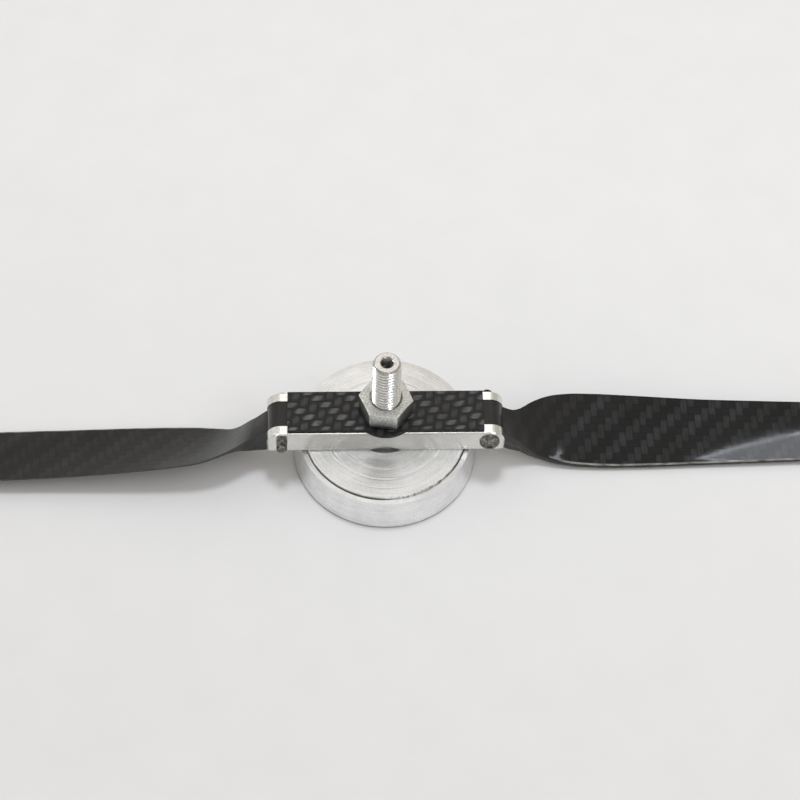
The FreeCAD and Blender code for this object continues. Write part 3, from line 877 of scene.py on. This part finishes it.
# ---- metals ----------------------------------------------------------------------------
def turned_aluminium():
    """Bright aluminium with the rings that a lathe tool leaves, and painted shade: ticks along the groove, the
    groove, the relief and a dark foot line.
    """
    # how dark the painted shade is in the groove, in the relief and along the foot, and the foot line's height
    groove_shade, relief_shade, foot_shade, foot_height = 0.45, 0.5, 0.7, 0.45
    material, tree, shader = new_material("turned_aluminium", Metallic=1.0, Anisotropic=0.5)
    place = local_place(tree)
    split = parts(tree, place)
    radius = maths(tree, "SQRT", plus(tree, times(tree, split[0], split[0]), times(tree, split[1], split[1])))
    ring_place = node(tree, "CombineXYZ", {0: radius, 1: split[2]}).outputs[0]
    fine = noise(tree, ring_place, 7000.0, 2.0)
    broad = noise(tree, ring_place, 700.0, 4.0)
    passes = plus(tree, times(tree, fine, 0.4), broad)
    mm_radius = times(tree, radius, 1000.0)
    for mark, depth in TOOL_MARKS:
        passes = plus(tree, passes, times(tree, bell(tree, mm_radius, mark, 0.22), depth))
    cloud = noise(tree, place, 110.0, 6.0, 0.65)
    fleck = noise(tree, place, 2600.0, 3.0)
    angle = maths(tree, "ARCTAN2", split[1], split[0])
    arcs = node(tree, "CombineXYZ", {0: times(tree, mm_radius, 5.0), 1: times(tree, angle, 1.6),
                                     2: times(tree, split[2], 5000.0)}).outputs[0]
    scratches = noise(tree, arcs, 1.0, 4.0, 0.7)
    passes = plus(tree, passes, times(tree, scratches, 0.9))
    feed(shader, "Normal", bump(tree, passes, 0.00002, 0.7))
    feed(shader, "Roughness", scaled(tree, plus(tree, broad, cloud), 0.14, 0.26))
    uneven = plus(tree, times(tree, cloud, 0.35), times(tree, fleck, 0.25))
    blend = plus(tree, times(tree, scratches, 0.4), uneven)
    metal = ramp(tree, blend, [(0.40, (0.70, 0.705, 0.71)), (0.58, (0.95, 0.95, 0.95))])
    # dark ticks of painted shade along the groove's inner wall, mostly at the front right
    spread = {0: times(tree, angle, 9.0), 1: times(tree, mm_radius, 1.2)}
    ticks_place = node(tree, "CombineXYZ", spread).outputs[0]
    ticks = ramp(tree, noise(tree, ticks_place, 1.6, 3.0, 0.7), [(0.50, 0.0), (0.60, 1.0)])
    tick_band = bell(tree, mm_radius, GROOVE_WALL + 0.03, 0.22)
    on_top = maths(tree, "GREATER_THAN", split[2], (LEDGE - 0.1) * MM)
    front_right = scaled(tree, bell(tree, angle, -1.05, 0.55), 0.8, 0.1)
    tick_shade = times(tree, times(tree, ticks, tick_band), times(tree, on_top, front_right))
    # painted shade down in the groove, next to its outer wall
    depth = times(tree, minus(tree, (LEDGE - 0.05) * MM, split[2]), 4000.0)
    depth = times(tree, maths(tree, "MINIMUM", maths(tree, "MAXIMUM", depth, 0.0), 1.0), groove_shade)
    from_groove = absolute(tree, minus(tree, mm_radius, GROOVE_OUT - 0.08))
    near_groove = maths(tree, "LESS_THAN", from_groove, 0.3)
    painted_shade = maths(tree, "MAXIMUM", tick_shade, times(tree, depth, near_groove))
    # painted shade in the round relief under the bar
    in_relief = times(tree, maths(tree, "LESS_THAN", mm_radius, RELIEF_RADIUS + 0.02),
                      maths(tree, "LESS_THAN", split[2], (BAR_BOTTOM - 0.04) * MM))
    painted_shade = maths(tree, "MAXIMUM", painted_shade, times(tree, in_relief, relief_shade))
    # painted shade in a thin line along the foot of the disc
    foot = times(tree, maths(tree, "LESS_THAN", split[2], foot_height * MM), foot_shade)
    painted_shade = maths(tree, "MAXIMUM", painted_shade, foot)
    feed(shader, "Base Color", mix_colour(tree, painted_shade, metal, SHADE_COLOUR))
    feed(shader, "Tangent", node(tree, "Tangent", direction_type="RADIAL", axis="Z").outputs[0])
    return material


def milled_metal(name, tint, low, high, grain, rough, marks, speck=1500.0, depth=0.00001, painted_shade=None,
                 relief_shadow=0.0, bore=0.0, often=0.3):
    """Machined metal: grain along one direction, small marks and uneven tone, perhaps painted shade on the
    walls and a painted shadow over the relief.

    Low and high are the tint's darkest and brightest share, marks and often how dark and how frequent the
    specks are. The argument for painted shade and reflection on the walls is an axis, two places on it in
    millimetres and how much of the colour is left at each. The argument for the painted shadow over the relief
    says how dark it is. Bore is the radius in millimetres of a hole darkened with painted shade; painted shade
    darkens the thread's roots with it."""
    material, tree, shader = new_material(name, Metallic=1.0)
    place = local_place(tree)
    lines = noise(tree, stretched(tree, place, grain), 1.0, 3.0)
    cloud = noise(tree, place, 150.0, 5.0)
    pits = noise(tree, place, speck, 3.0, 0.65)
    spots = ramp(tree, pits, [(often, 0.0), (often + 0.12, 1.0)])
    mixed = plus(tree, times(tree, lines, 0.5), times(tree, cloud, 0.5))
    shade = ramp(tree, mixed, [(0.36, tuple(c * low for c in tint)), (0.64, tuple(c * high for c in tint))])
    keep = scaled(tree, spots, marks, 1.0 - marks)
    marked = mix_colour(tree, keep, tuple(c * 0.35 for c in tint) + (1.0,), shade)
    # painted shade and reflection on the walls, darker towards one place along an axis
    if painted_shade:
        axis, (near, far), left = painted_shade
        split = parts(tree, place)
        run = plus(tree, absolute(tree, split[axis]),
                   scaled(tree, noise(tree, place, 260.0, 4.0), 0.004, -0.002))
        left = remap(tree, run, (near * MM, far * MM), left)
        wall = maths(tree, "LESS_THAN", upright(tree), 0.4)
        # painted shadow at the foot of the bar's middle, over the relief
        if relief_shadow:
            spot = times(tree, bell(tree, split[0], -0.001, 0.0075),
                         bell(tree, split[2], BAR_BOTTOM * MM, 0.0009))
            shadow_mottle = scaled(tree, noise(tree, place, 900.0, 4.0), 0.8, 0.5)
            spot = times(tree, times(tree, spot, shadow_mottle), -relief_shadow)
            left = times(tree, left, plus(tree, spot, 1.0))
        left = mix(tree, wall, 1.0, left)
        marked = multiplied(tree, marked, tinted(tree, left, times(tree, left, 0.98)))
    # painted shade in the tapped hole and in the thread's roots
    if bore:
        flat = stretched(tree, place, (1.0, 1.0, 0.0))
        radius = node(tree, "VectorMath", {0: flat}, operation="LENGTH").outputs["Value"]
        inside = times(tree, maths(tree, "LESS_THAN", radius, bore * MM), 0.55)
        root = remap(tree, radius, ((THREAD_RADIUS - 0.5) * MM, (THREAD_RADIUS - 0.12) * MM), (0.45, 0.0))
        outer = maths(tree, "GREATER_THAN", radius, 3.1 * MM)
        not_level = maths(tree, "LESS_THAN", upright(tree), 0.95)
        root = times(tree, times(tree, root, outer), not_level)
        inside = maths(tree, "MAXIMUM", inside, root)
        marked = mix_colour(tree, inside, marked, tuple(c * 0.1 for c in tint) + (1.0,))
    feed(shader, "Base Color", marked)
    feed(shader, "Roughness", scaled(tree, mixed, 0.24, rough - 0.12))
    height = plus(tree, lines, times(tree, spots, 0.6))
    feed(shader, "Normal", bump(tree, height, depth, 0.6))
    return material


def black_steel():
    """Black oxide on steel, worn and dusty."""
    material, tree, shader = new_material("screw_steel", Metallic=0.9)
    place = local_place(tree)
    cloud = noise(tree, place, 1500.0, 4.0, 0.7)
    wear = noise(tree, place, 500.0, 3.0)
    mottled = plus(tree, times(tree, cloud, 0.6), times(tree, wear, 0.4))
    colour = ramp(tree, mottled, [(0.38, (0.05, 0.048, 0.042)), (0.52, (0.17, 0.167, 0.15)),
                               (0.62, (0.5, 0.495, 0.46))])
    feed(shader, "Base Color", colour)
    feed(shader, "Roughness", scaled(tree, cloud, 0.3, 0.2))
    feed(shader, "Normal", bump(tree, cloud, 0.00004, 0.8))
    return material


# The blades' two copies differ in painted sheen: the left one has a smaller grey difference and fainter glints.
carbon_right = blade_material("blade_carbon", greys=(0.0022, 0.011), glints=(0.003, 0.0095))
carbon_left = blade_material("blade_carbon_left", greys=(0.0065, 0.0105), glints=(0.001, 0.004))
# the stud's tapped hole and thread roots get painted shade
stud_metal = milled_metal(
    "stud_aluminium", BRIGHT_ALUMINIUM, low=0.88, high=1.0, grain=(900.0, 900.0, 2500.0), rough=0.23,
    marks=0.35, bore=1.9, often=0.38)
# the bar's walls get painted reflection and shade, darker towards the middle, and a painted shadow over the
# relief
bar_metal = milled_metal(
    "bar_aluminium", ALUMINIUM, low=0.8, high=1.02, grain=(300.0, 4000.0, 4000.0), rough=0.25, marks=0.15,
    painted_shade=(0, (9.0, 25.0), (0.74, 1.0)), relief_shadow=0.8)
# the nut's walls get a painted reflection of the dark plate, darkest towards their foot
nut_metal = milled_metal(
    "nut_steel", STEEL, low=0.8, high=1.0, grain=(1500.0, 1500.0, 900.0), rough=0.34, marks=0.55, speck=2100.0,
    depth=0.00004, painted_shade=(2, (20.2, 26.2), (0.1, 0.95)), often=0.42)
brass = milled_metal(
    "bush_brass", BRASS, low=0.8, high=1.0, grain=(3000.0, 400.0, 3000.0), rough=0.28, marks=0.1)
screw_metal = black_steel()
looks = {
    "hub_disc": (turned_aluminium(), "turned_aluminium"),
    "collet_stud": (stud_metal, "stud_aluminium"),
    "yoke": (bar_metal, "bar_aluminium"),
    "cover_plate": (plate_material(), "plate_carbon"),
    "hub_nut": (nut_metal, "nut_steel"),
    "blade_right": (carbon_right, "blade_carbon"),
    "blade_left": (carbon_left, "blade_carbon"),
    "root_bush_right": (brass, "bush_brass"),
    "root_bush_left": (brass, "bush_brass"),
    "pivot_screw_right": (screw_metal, "screw_steel"),
    "pivot_screw_left": (screw_metal, "screw_steel"),
}

make_hub_disc()
make_collet_stud()
make_yoke()
make_cover_plate()
make_hub_nut()
make_pivot_screws()
make_bushes()
make_blades()


# ---- stage -----------------------------------------------------------------------------
def make_floor():
    """Pale seamless paper that the propeller stands on, with painted shade that makes it a little darker
    towards the front left.
    """
    shape = bmesh.new()
    bmesh.ops.create_grid(shape, x_segments=8, y_segments=8, size=4.0)
    floor = to_piece("paper_floor", shape)
    material, tree, shader = new_material("paper", Specular_IOR_Level=0.15, Roughness=0.75)
    place = local_place(tree)
    fibres = noise(tree, place, 60.0, 5.0)
    paper = ramp(tree, fibres, [(0.3, (0.84, 0.84, 0.84)), (0.7, (0.86, 0.86, 0.86))])
    split = parts(tree, place)
    # painted shade: the paper darkens a little towards the front left
    run = scaled(tree, split[1], 5.0, scaled(tree, split[0], 1.2, 0.5))
    fall = ramp(tree, run, [(0.0, 0.93), (1.0, 1.0)])
    feed(shader, "Base Color", multiplied(tree, paper, fall))
    floor.data.materials.append(material)


def area_light(name, place, size, power, aim=(0.0, 0.0, 0.0), soft=False, spin=0, only=None):
    """Rectangular light at a place in metres that faces the aim, perhaps only for a collection of pieces.

    A soft one lights surfaces and has no reflection; the others only show as reflections."""
    lamp = bpy.data.lights.new(name, "AREA")
    lamp.shape = "RECTANGLE"
    lamp.size, lamp.size_y = size
    lamp.energy = power
    lamp.color = LAMP_COLOUR
    light = bpy.data.objects.new(name, lamp)
    bpy.context.scene.collection.objects.link(light)
    light.location = place
    facing = (Vector(place) - Vector(aim)).to_track_quat("Z", "Y").to_matrix()
    light.rotation_euler = (facing @ Matrix.Rotation(math.radians(spin), 3, "Z")).to_euler()
    if only:
        light.light_linking.receiver_collection = only
    light.visible_glossy = not soft
    light.visible_diffuse = soft


def around(elevation, azimuth, distance):
    """Place seen from the hub at angles in degrees; azimuth 0 is behind the propeller and 90 is its right."""
    up, turn = math.radians(elevation), math.radians(azimuth)
    return Vector((math.sin(turn) * math.cos(up), math.cos(turn) * math.cos(up), math.sin(up))) * distance


def lit_only(name, *pieces):
    """Collection of pieces for a light that shines on nothing else."""
    group = bpy.data.collections.new(name)
    for piece in pieces:
        group.objects.link(bpy.data.objects[piece])
    return group


def make_studio():
    """Pale room, a soft lamp overhead with a fill from the front, and lamps that only show as reflections."""
    world = bpy.data.worlds.new("studio")
    bpy.context.scene.world = world
    world.use_nodes = True
    tree = world.node_tree
    direction = node(tree, "TexCoord").outputs["Generated"]
    split = parts(tree, direction)
    back = maths(tree, "GREATER_THAN", split[1], 0.0)
    sky_back = ramp(tree, split[2], [(0.0, 0.72), (0.25, 0.62), (0.62, 0.66), (0.76, 1.0), (0.88, 0.9),
                                     (0.95, 0.4)])
    sky_front = ramp(tree, split[2], [(0.0, 0.72), (0.3, 0.55), (0.7, 0.6), (0.95, 0.4)])
    sky = multiplied(tree, mix_colour(tree, back, sky_front, sky_back), ROOM_TINT)
    tree.links.new(sky, tree.nodes["Background"].inputs["Color"])
    tree.nodes["Background"].inputs["Strength"].default_value = 0.9
    outboard = (0.1, 0.0, 0.0)
    area_light("overhead", around(80, 4, 1.2), (0.2, 0.2), 4.15, soft=True)
    area_light("fill", around(55, 118, 1.6), (1.2, 1.2), 4.8, soft=True)
    blades = lit_only("blades", "carbon_blade_right", "carbon_blade_left")
    disc = lit_only("disc", "turned_disc")
    bar = lit_only("bar", "hub_bar")
    area_light("window", (0.226, 0.45, 1.178), (0.8, 0.21), 2.1, outboard, spin=25, only=blades)
    area_light("window_edge", (0.27, 0.355, 1.2), (0.8, 0.02), 0.8, outboard, spin=25, only=blades)
    area_light("disc_back", around(58, -55, 1.3), (0.5, 0.4), 1.0, only=disc)
    area_light("disc_top", around(66, 4, 1.3), (0.2, 0.3), 0.24, only=disc)
    area_light("bar_top", around(56, 6, 1.3), (0.3, 0.3), 0.4, only=bar)
    area_light("bar_edge", around(34, 180, 1.2), (1.4, 0.2), 5.0, only=bar)
    area_light("front", around(64, 150, 1.2), (0.3, 0.2), 1.3)
    area_light("front_strip", around(34, 180, 1.2), (1.4, 0.2), 0.6)
    area_light("side", around(34, -70, 1.2), (0.2, 0.5), 2.4)


def make_camera():
    """Camera that looks down at the hub from the front, a little turned and rolled. Depth of field is off."""
    data = bpy.data.cameras.new("camera")
    data.lens = CAMERA_LENS
    data.clip_start = 0.01
    camera = bpy.data.objects.new("camera", data)
    bpy.context.scene.collection.objects.link(camera)
    pitch, roll, turn = (math.radians(a) for a in (CAMERA_PITCH, CAMERA_ROLL, CAMERA_TURN))
    right = Vector((1, 0, 0))
    up = Vector((0, math.sin(pitch), math.cos(pitch)))
    forward = Vector((0, math.cos(pitch), -math.sin(pitch)))
    rolled_right = right * math.cos(roll) - up * math.sin(roll)
    rolled_up = right * math.sin(roll) + up * math.cos(roll)
    basis = Matrix((rolled_right, rolled_up, -forward)).transposed()
    spin = Matrix.Rotation(turn, 3, "Z")
    hub = Vector((0, 0, PIVOT_HEIGHT * MM))
    offset = rolled_right * AIM_RIGHT + rolled_up * AIM_UP - forward * CAMERA_DISTANCE
    camera.matrix_world = Matrix.Translation(hub + spin @ offset) @ (spin @ basis).to_4x4()
    bpy.context.scene.camera = camera


make_floor()
make_studio()
make_camera()
bpy.context.scene.view_settings.view_transform = "Standard"
